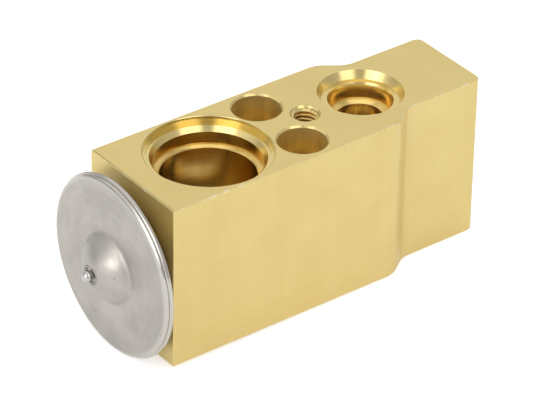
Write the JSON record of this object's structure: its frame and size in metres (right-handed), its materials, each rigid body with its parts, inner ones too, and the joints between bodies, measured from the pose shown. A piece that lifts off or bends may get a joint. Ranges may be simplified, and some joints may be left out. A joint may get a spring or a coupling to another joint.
{
  "type": "thermostatic expansion valve",
  "caption": "Block-type thermostatic expansion valve with a diaphragm power head, sensing rod, ball valve, superheat adjuster, O-ring ports and bolt-through mounting.",
  "frame": {"origin": "midway between the two mounting bolt holes, on the evaporator-side (bottom) face of the block", "axes": "+X along the valve axis from the power head towards the adjusting screw, +Y across the block's width, +Z from the evaporator-side face to the pipe-side face"},
  "size_m": [0.1007, 0.0424, 0.0424],
  "materials": {
    "block_gold": "satin, pale gold conversion coating over machined and extruded faces",
    "head_steel": "satin stainless, pressed and welded",
    "bright_steel": "ground and polished steel",
    "diaphragm_steel": "bright rolled stainless foil",
    "inner_steel": "turned steel",
    "rod_aluminium": "drawn bright aluminium",
    "spring_steel": "spring steel",
    "adjuster_brass": "turned brass",
    "washer_plastic": "white fluoroplastic",
    "seal_rubber": "matt black rubber"
  },
  "bodies": {
    "housing": {"valve_block": "block_gold", "head_cap": "head_steel", "charge_ball": "bright_steel", "diaphragm": "diaphragm_steel", "head_base": "head_steel", "head_seal_ring": "seal_rubber", "rod_seal_ring": "seal_rubber", "rod_seal_washer": "washer_plastic", "rod_seal_retainer": "spring_steel"},
    "stem": {"thrust_disc": "inner_steel", "sensing_rod": "rod_aluminium", "operating_pin": "bright_steel", "valve_ball": "bright_steel", "ball_cradle": "inner_steel", "damper_spring": "spring_steel"},
    "adjuster_seat": {"adjuster_seal_ring": "seal_rubber", "superheat_spring": "spring_steel"},
    "adjuster": {"adjusting_screw": "adjuster_brass"}
  },
  "joints": [
    {"name": "stem_slide", "type": "slide", "parent": "housing", "child": "stem", "axis": [1, 0, 0], "range_m": [0, 0.0009], "stiffness_N_per_m": 9000, "deforming": ["superheat_spring", "diaphragm"]},
    {"name": "adjuster_turn", "type": "hinge", "parent": "adjuster_seat", "child": "adjuster", "pos_m": [0.0405, 0, 0.02], "axis": [1, 0, 0], "range_deg": [-360, 360]},
    {"name": "adjuster_feed", "type": "slide", "parent": "housing", "child": "adjuster_seat", "axis": [1, 0, 0], "range_m": [-0.001, 0.001], "deforming": ["superheat_spring"]}
  ],
  "couplings": [
    {"joint": "adjuster_feed", "follows": "adjuster_turn", "m_per_rad": 0.00015915}
  ]
}
